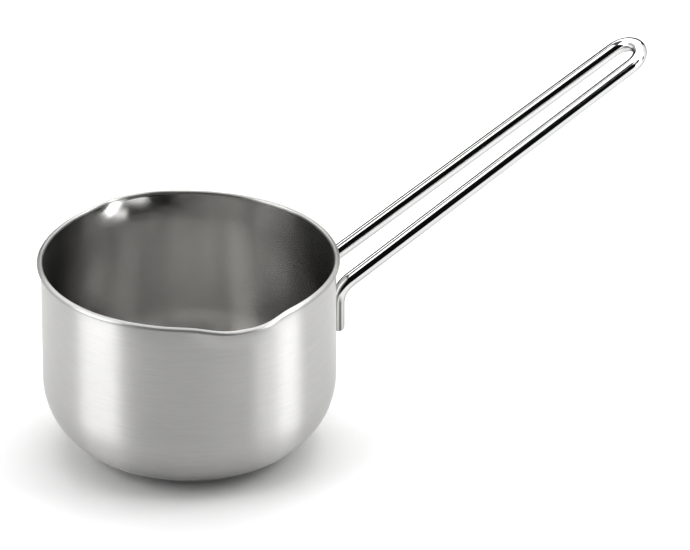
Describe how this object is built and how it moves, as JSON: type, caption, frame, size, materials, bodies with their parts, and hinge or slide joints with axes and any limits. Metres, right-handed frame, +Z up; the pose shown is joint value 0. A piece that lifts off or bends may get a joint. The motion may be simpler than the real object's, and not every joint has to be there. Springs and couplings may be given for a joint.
{
  "type": "melting pot",
  "caption": "Small steel melting pot with a rounded bowl, opposite pouring spouts and a long rising wire loop handle.",
  "frame": {"origin": "middle of the bowl's flat base, on the surface that the pot stands on", "axes": "+Z up along the bowl's axis, +X towards the handle, spouts towards +Y and -Y"},
  "size_m": [0.2295, 0.111, 0.1165],
  "materials": {
    "bowl_steel": "fine brushing round the axis, satin, with a polished rim",
    "wire_steel": "mirror-polished stainless wire",
    "weld_steel": "small clean weld, lightly polished"
  },
  "bodies": {
    "root": {"pot_bowl": "bowl_steel", "wire_handle": "wire_steel", "weld_left": "weld_steel", "weld_right": "weld_steel"}
  },
  "joints": []
}
